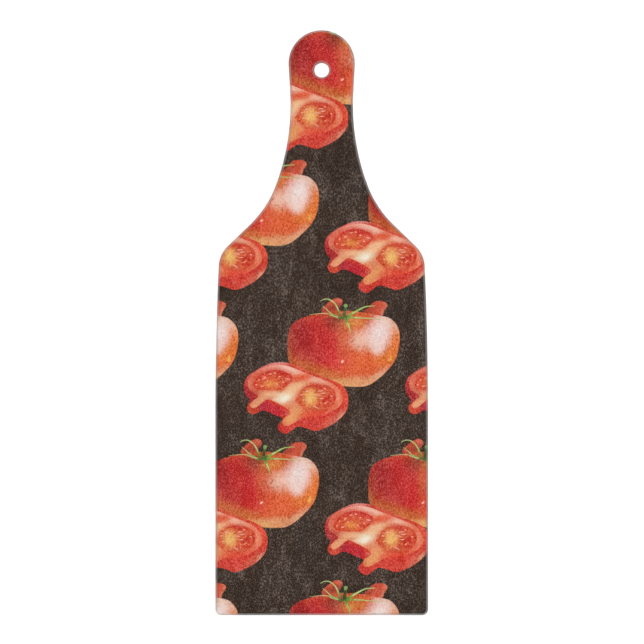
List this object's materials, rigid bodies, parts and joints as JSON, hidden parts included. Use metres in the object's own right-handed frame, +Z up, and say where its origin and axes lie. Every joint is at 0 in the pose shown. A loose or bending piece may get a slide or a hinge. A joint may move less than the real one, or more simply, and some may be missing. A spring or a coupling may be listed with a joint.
{
  "type": "glass cutting board",
  "caption": "Paddle-shaped tempered glass cutting board with a hang hole in its handle, a tomato print under the glass and soft feet.",
  "frame": {"origin": "under the middle of the board's box, on the surface that the feet stand on", "axes": "+Z up out of the cutting face, +Y along the board towards the handle, +X to the right seen from above with the handle pointing away"},
  "size_m": [0.1454, 0.4, 0.0075],
  "materials": {
    "glass": "clear tempered glass, finely pebbled cutting face, ground edge",
    "picture": "printed ink in several colours, red tomatoes on a dark speckled brown ground",
    "coat": "matte white protective coat",
    "rubber": "soft translucent rubber",
    "adhesive": "thin clear adhesive"
  },
  "bodies": {
    "root": {"glass_pane": "glass", "picture_layer": "picture", "backing_coat": "coat", "foot_base_left": "rubber", "foot_base_right": "rubber", "foot_shoulder_left": "rubber", "foot_shoulder_right": "rubber", "adhesive_base_left": "adhesive", "adhesive_base_right": "adhesive", "adhesive_shoulder_left": "adhesive", "adhesive_shoulder_right": "adhesive"}
  },
  "joints": []
}
